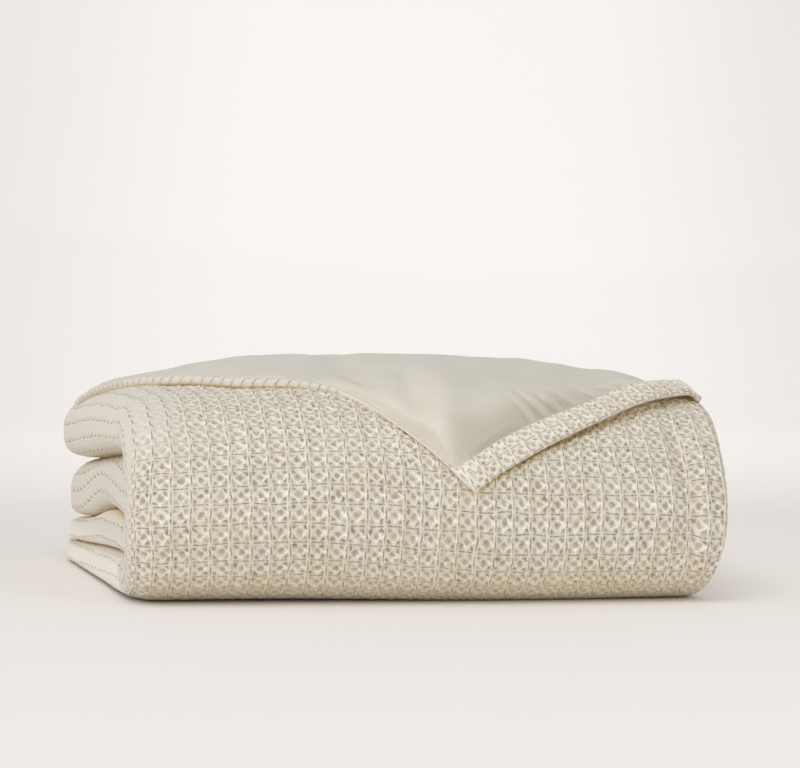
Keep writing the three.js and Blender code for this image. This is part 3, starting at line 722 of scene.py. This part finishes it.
class Value:
    """A number that varies over a surface: wraps a socket, and each operator adds a Math node."""

    def __init__(self, tree, socket):
        self.tree, self.socket = tree, socket

    def math(self, operation, *others, clamp=False):
        made = self.tree.nodes.new("ShaderNodeMath")
        made.operation, made.use_clamp = operation, clamp
        for socket, value in zip(made.inputs, (self, *others)):
            if isinstance(value, Value):
                self.tree.links.new(value.socket, socket)
            else:
                socket.default_value = value
        return Value(self.tree, made.outputs[0])

    def __add__(self, other):
        return self.math("ADD", other)

    def __sub__(self, other):
        return self.math("SUBTRACT", other)

    def __rsub__(self, other):
        return self.math("MULTIPLY", -1.0).math("ADD", other)

    def __mul__(self, other):
        return self.math("MULTIPLY", other)

    def __truediv__(self, other):
        return self.math("DIVIDE", other)

    __radd__, __rmul__ = __add__, __mul__

    def hump(self, middle, width):
        """exp(-((value - middle) / width)^2)"""
        off = (self - middle) / width
        return (off * off * -1.0).math("EXPONENT")

    def from_middle(self):
        """Distance from the middle of its own whole-number cell, -0.5 to 0.5."""
        return self.math("FRACT") - 0.5

    def clamped(self):
        """Held to 0 to 1."""
        return self.math("ADD", 0.0, clamp=True)

    def step(self, low, high):
        """0 below low and 1 above high, smooth between."""
        t = ((self - low) / (high - low)).clamped()
        return t * t * (3.0 - 2.0 * t)


class Finish:
    """A material and its node tree."""

    def __init__(self, name):
        self.material = bpy.data.materials.new(name)
        self.material.use_nodes = True
        self.tree = self.material.node_tree
        self.shader = self.tree.nodes["Principled BSDF"]

    def node(self, kind, settings=None, sockets=None, output=0):
        """Any other node: its type, its settings, then the values or links of its sockets."""
        made = self.tree.nodes.new(kind)
        for key, value in (settings or {}).items():
            setattr(made, key, value)
        for key, value in (sockets or {}).items():
            if isinstance(value, Value):
                self.tree.links.new(value.socket, made.inputs[key])
            else:
                made.inputs[key].default_value = value
        return Value(self.tree, made.outputs[output])

    def parts(self, vector):
        """The first two numbers of a vector."""
        first = self.node("ShaderNodeSeparateXYZ", sockets={0: vector})
        return first, Value(self.tree, first.socket.node.outputs[1])

    def attribute(self, name):
        """One of the piece's own values."""
        return self.node("ShaderNodeAttribute", {"attribute_name": name}, output=2)

    def noise(self, place, scale, detail):
        """Soft noise over a flat place."""
        sockets = {"Vector": place, "Scale": scale, "Detail": detail}
        return self.node("ShaderNodeTexNoise", {"noise_dimensions": "2D"}, sockets)

    def scatter(self, u, v):
        """An even scatter of values in 0 to 1, one for each whole-number cell."""
        cell = self.node("ShaderNodeCombineXYZ", sockets={0: u.math("FLOOR"), 1: v.math("FLOOR")})
        return self.node("ShaderNodeTexWhiteNoise", {"noise_dimensions": "2D"}, {"Vector": cell})

    def mix(self, factor, first, second, blend="MIX"):
        """Two colours mixed, or multiplied, by a factor."""
        settings = {"data_type": "RGBA", "blend_type": blend}
        return self.node("ShaderNodeMix", settings, {0: factor, 6: first, 7: second}, output=2)

    def bump(self, height, strength, distance):
        """A height as a change of the surface's normal."""
        sockets = {"Strength": strength, "Distance": distance, "Height": height}
        self.link("Normal", self.node("ShaderNodeBump", sockets=sockets))

    def set(self, **constants):
        """Values that are the same all over, by the shader's socket names."""
        for key, value in constants.items():
            self.shader.inputs[key.replace("_", " ")].default_value = value

    def link(self, key, value):
        """A value that varies, into one of the shader's sockets."""
        self.tree.links.new(value.socket, self.shader.inputs[key])


def linear(red, green, blue):
    """A display colour, 0 to 255, as a linear one."""
    c = np.array([red, green, blue]) / 255.0
    c = np.where(c <= 0.04045, c / 12.92, ((c + 0.055) / 1.055) ** 2.4)
    return (*c.tolist(), 1.0)


# The waffle's creams, the painted shade of its hollows and grooves, and its painted shades deeper in the
# folds
CREAM, LIGHT_CREAM, PLAIN_CREAM = linear(248, 240, 225), linear(251, 245, 233), linear(247, 242, 235)
PAINTED_SHADE, FOLD_PAINTED_SHADE = linear(136, 126, 100), linear(246, 233, 200)
DEEP_PAINTED_SHADE, PAINTED_FOLD_GLOW, NO_GLOW = linear(104, 90, 56), linear(76, 65, 42), linear(0, 0, 0)
# The smooth panel's two close tones, and its painted shade beside the seam
PANEL_TONE, PALE_TONE, SEAM_SHADE = linear(219, 214, 202), linear(222, 218, 207), linear(194, 187, 172)
# The floor near by and far off, and its painted shade towards the sides
FLOOR_TONE, WALL_TONE, SIDE_PAINTED_SHADE = linear(250, 247, 244), linear(250, 248, 247), linear(239, 235, 232)


def waffle_cotton():
    """Cream waffle cotton over the weave's own UV map. Each cell has a hollow in its middle, dimples at its
    corners and a pale net between them: a diamond round the hollow, with spokes from its points. Rows part
    along a thin dashed line, columns along a dark stroke between two pale cords, and a pale bead covers
    each crossing. Their colour is painted light: the hollows, dimples, lines, ticks and strokes are painted
    shade, and the net, cords and beads are painted highlight, the net brighter on the side facing the
    light.
    Plain parts keep little but the columns, with short slanting ticks. Folds get a warm painted shade, a
    painted glow and dark painted shade at their deepest, and are painted paler where that attribute is
    below 0."""
    f = Finish("waffle_cotton")
    uv = f.node("ShaderNodeUVMap", {"uv_map": "weave"})
    u, v = f.parts(uv)
    chance, luck = f.scatter(u, v), f.scatter(u * 2.0, v * 2.0)
    fibre, knot = f.noise(uv, 11.0, 3.0), f.noise(uv, 5.0, 1.0)
    bend, drift, tone = f.noise(uv, 2.3, 1.0), f.noise(uv, 2.9, 1.0), f.noise(uv, 0.4, 2.0)
    depth, plain = f.attribute("painted_shade_and_light"), f.attribute("plain")
    weave = 1.0 - plain * 0.92

    rough = (fibre - 0.5) * 0.18
    p = u.from_middle() + rough + (bend - 0.5) * 0.3
    q = v.from_middle() - rough + (drift - 0.5) * 0.3
    column = (u + 0.5).from_middle() + rough * 0.4 + (bend - 0.5) * 0.13
    row = (v + 0.5).from_middle()
    side, rise = p.math("ABSOLUTE"), q.math("ABSOLUTE")
    pit = p.hump(0.01, 0.13) * q.hump(0.01, 0.145) * (0.6 + 0.7 * chance) * weave
    dimple = side.hump(0.29, 0.085) * rise.hump(0.28, 0.09) * (0.5 + 0.9 * luck) * weave
    spoke = p.hump(0.0, 0.075) * rise.step(0.22, 0.32) + q.hump(0.0, 0.075) * side.step(0.22, 0.32)
    rim = ((side + rise) * 0.5 + (p * p + q * q).math("SQRT") * 0.45).hump(0.27, 0.08)
    # Painted highlight: the net is brighter on the side that faces the light
    facing_light = (0.55 + p * 1.5 - q * 0.8).clamped()
    net = (rim + spoke * 0.6) * (0.35 + 0.9 * facing_light) * (knot * 2.2 - 0.2) * weave
    bead = column.hump(0.0, 0.08) * row.hump(0.0, 0.09)
    cord = column.hump(-0.075, 0.042) + column.hump(0.09, 0.04) * 0.7
    cord = cord * (knot * 2.4 - 0.35) * (1.0 - plain * 0.7)
    thread = (knot * 3.0 - 0.7).clamped()
    line = row.hump(0.0, 0.03) * (1.0 - column.hump(0.0, 0.10)) * thread * (1.0 - plain)
    stitch = (v + column * 2.5).from_middle().hump(0.0, 0.2)
    tick = stitch * column.hump(0.1, 0.1) * plain * (knot * 2.0 - 0.3).clamped()
    stroke = column.hump(0.012, 0.036) * (q.hump(0.0, 0.3) + plain * 0.4) * thread * (1.0 - plain * 0.5)
    # Painted highlight on the pale net, cords and beads, which the bump below also raises
    light = (cord * 0.9 + bead * 0.4 + net).clamped()

    # Painted shade in the hollows, dimples, lines, ticks and strokes, less under the painted highlight,
    # with fibre tone that differs at random
    dark = 0.31 + 0.045 * weave + (fibre - 0.5) * 0.24
    marks = (pit, 0.33), (dimple, 0.42), (line, 0.58), (tick, 0.55), (stroke, 0.66), (light, -0.36)
    for mark, strength in marks:
        dark = dark + mark * strength
    # Painted shade in the folds: warmer, then dark at the deepest; painted paler where the value is below 0
    # and at middling depth
    fold_shade = depth.clamped()
    dark = dark + depth.math("MINIMUM", 0.0) * 0.3 - fold_shade * (1.0 - fold_shade) * 0.43
    pale = f.mix(tone.step(0.3, 0.7), CREAM, LIGHT_CREAM)
    pale = f.mix(plain * 0.8, pale, PLAIN_CREAM)
    body = f.mix(dark.clamped(), pale, PAINTED_SHADE)
    body = f.mix(fold_shade, body, FOLD_PAINTED_SHADE, "MULTIPLY")
    f.link("Base Color", f.mix(((depth - 1.0) * 2.5).clamped(), body, DEEP_PAINTED_SHADE))
    # A painted glow of light in the deepest plain folds
    f.link("Emission Color", f.mix(depth.hump(1.0, 0.2) * plain, NO_GLOW, PAINTED_FOLD_GLOW))
    height = light * 0.6 - pit * 0.8 - dimple * 0.8 - line * 0.7 - stroke * 0.7 + (fibre - 0.5) * 0.5
    f.bump(height, strength=0.7, distance=0.0012)
    f.set(Roughness=0.95, Specular_IOR_Level=0.2, Emission_Strength=1.0)
    f.set(Sheen_Weight=0.1, Sheen_Roughness=0.6)
    return f.material


def smooth_cotton():
    """Smooth cotton: a fine even weave with slubs, faint cloudy tone, and painted shade beside the hem's
    seam.
    """
    f = Finish("smooth_cotton")
    uv = f.node("ShaderNodeUVMap", {"uv_map": "weave"})
    cloud, slub = f.noise(uv, 0.35, 2.0), f.noise(uv, 9.0, 4.0)
    body = f.mix(cloud.step(0.3, 0.7), PANEL_TONE, PALE_TONE)
    f.link("Base Color", f.mix(f.attribute("painted_shade_and_light") * 0.9, body, SEAM_SHADE))
    f.link("Roughness", 0.5 + cloud * 0.15)
    f.bump(slub, strength=0.1, distance=0.0005)
    f.set(Specular_IOR_Level=0.2)
    return f.material


def pale_floor():
    """Matt pale floor and wall: a little paler towards the wall, and painted shade towards both sides."""
    f = Finish("pale_floor")
    x, y = f.parts(f.node("ShaderNodeTexCoord", output=3))
    middle = f.mix(y.step(0.2, 2.4), FLOOR_TONE, WALL_TONE)
    aside = (x - y * 0.2).math("ABSOLUTE")
    # Painted shade towards both sides
    f.link("Base Color", f.mix(aside.step(0.2, 0.62) * 0.85, middle, SIDE_PAINTED_SHADE))
    f.set(Roughness=0.9, Specular_IOR_Level=0.1)
    return f.material


# The cover's pieces

waffle_finish, smooth_finish = waffle_cotton(), smooth_cotton()
seen = np.arange(NOSE_START - WEAVE_STEP, NOSE_START + SEEN_RUN, WEAVE_STEP)
covered = np.linspace(seen[-1] + 3, len(outer_strip) - 1, 36)
on_floor = np.linspace(0, NOSE_START, 150)

front = cover_sheet(
    "front_wrap", outer_strip, np.concatenate([seen, covered, covered[-1:]]), ring(WEAVE_STEP), "a",
    waffle_finish, front_creases, painted_shadow_under_edge, under_panel,
)
base = cover_sheet(
    "base_wrap", outer_strip, np.concatenate([[0.0], on_floor, [NOSE_START + WEAVE_STEP]]),
    ring(WIDE_STEP), "a", waffle_finish, front_creases,
)
inner = cover_sheet(
    "inner_folds", inner_strip, np.pad(np.linspace(0, len(inner_strip) - 1, 300), 1, mode="edge"),
    ring(WIDE_STEP), "b", waffle_finish,
)
hem = hem_sheet(waffle_finish)
panel = panel_sheet(smooth_finish)

for piece, node, slot in (
    (front, "waffle_panel", "waffle_cotton"),
    (base, "waffle_panel", "waffle_cotton"),
    (inner, "waffle_panel", "waffle_cotton"),
    (hem, "waffle_panel", "waffle_cotton"),
    (panel, "smooth_panel", "smooth_cotton"),
):
    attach(piece, "root")
    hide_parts(node)


# Stage, light and camera, in metres

SWEEP_FRONT, SWEEP_BEND, SWEEP_ROUND, SWEEP_TOP, SWEEP_SIDE = -3.0, 1.2, 1.8, 5.0, 5.0
ROOM_COLOUR, ROOM_LIGHT = (1.0, 0.993, 0.984, 1.0), 0.585
WINDOW_COLOUR, FILL_COLOUR, WALL_COLOUR = (1.0, 0.985, 0.965), (1.0, 0.98, 0.95), (1.0, 0.99, 0.985)
AZIMUTH, ELEVATION, ROLL = math.radians(-10.5), math.radians(3.2), math.radians(0.8)
DISTANCE, SENSOR_WIDTH = 2.4, 36.0
# The point looked at, in the section's millimetres, and the focal length for a picture 800 pixels wide
LOOKED_AT, FOCAL_PIXELS, PICTURE_WIDTH = (4.0, 0.0, 137.5), 3440.0, 800.0


def sweep():
    """The floor and the wall behind it as one sheet: flat, then a quarter round, then upright."""
    t = np.linspace(0.0, 1.0, 60)
    bend = SWEEP_ROUND * np.sin(t * QUARTER), SWEEP_ROUND * (1 - np.cos(t * QUARTER))
    y = np.concatenate([[SWEEP_FRONT, SWEEP_BEND], SWEEP_BEND + bend[0], [SWEEP_BEND + SWEEP_ROUND]])
    z = np.concatenate([[0.0, 0.0], bend[1], [SWEEP_TOP]])
    x = np.linspace(-SWEEP_SIDE, SWEEP_SIDE, 3)
    grid = np.stack(np.broadcast_arrays(x[None, :], y[:, None], z[:, None]), axis=-1)
    made = sheet_mesh("sweep", grid * 1000.0 + MIDDLE, grid[..., :2], 0.0, 0.0, None, pale_floor())
    return made


def area_light(name, place, target, size, power, colour, held_to=()):
    """A square soft light that looks at a target. It lights all, or only the objects it is held to."""
    data = bpy.data.lights.new(name, "AREA")
    data.shape, data.size, data.energy, data.color = "SQUARE", size, power, colour
    made = bpy.data.objects.new(name, data)
    made.location = place
    made.rotation_mode = "QUATERNION"
    made.rotation_quaternion = (Vector(target) - Vector(place)).to_track_quat("-Z", "Y")
    bpy.context.scene.collection.objects.link(made)
    if held_to:
        lit = bpy.data.collections.new(f"lit_by_{name}")
        for member in held_to:
            lit.objects.link(member)
        made.light_linking.receiver_collection = lit


def room_light():
    """An even soft light from all round."""
    world = bpy.data.worlds.new("soft_room")
    world.use_nodes = True
    background = world.node_tree.nodes["Background"]
    background.inputs[0].default_value = ROOM_COLOUR
    background.inputs[1].default_value = ROOM_LIGHT
    bpy.context.scene.world = world


def look():
    """The camera at a distance from the point looked at, turned round it, raised, and rolled a little."""
    data = bpy.data.cameras.new("camera")
    data.sensor_width = SENSOR_WIDTH
    data.lens = FOCAL_PIXELS / PICTURE_WIDTH * SENSOR_WIDTH
    data.clip_start, data.clip_end = 0.05, 50.0
    camera = bpy.data.objects.new("camera", data)
    level = math.cos(ELEVATION)
    back = Vector((math.sin(AZIMUTH) * level, -math.cos(AZIMUTH) * level, math.sin(ELEVATION)))
    camera.location = (Vector(LOOKED_AT) - Vector(MIDDLE)) / 1000.0 + back * DISTANCE
    camera.rotation_mode = "QUATERNION"
    camera.rotation_quaternion = (-back).to_track_quat("-Z", "Y") @ Quaternion((0, 0, 1), ROLL)
    bpy.context.scene.collection.objects.link(camera)
    bpy.context.scene.camera = camera
    bpy.context.scene.view_settings.view_transform = "Standard"


floor = sweep()
room_light()
cover, on_cover = (front, base, inner, hem, panel), (0.0, 0.0, 0.05)
area_light("left_window", (-2.1, -1.3, 1.5), on_cover, 1.9, 31.0, WINDOW_COLOUR, held_to=cover)
area_light("top_light", (-0.7, -1.4, 2.8), (-0.1, -0.1, 0.0), 1.9, 26.0, WINDOW_COLOUR, held_to=(floor,))
area_light("front_fill", (1.5, -2.4, 0.9), on_cover, 1.8, 14.5, FILL_COLOUR)
area_light("wall_wash", (0.4, 1.1, 1.7), (0.5, 3.0, 1.0), 2.0, 9.0, WALL_COLOUR)
look()

bpy.context.view_layer.update()
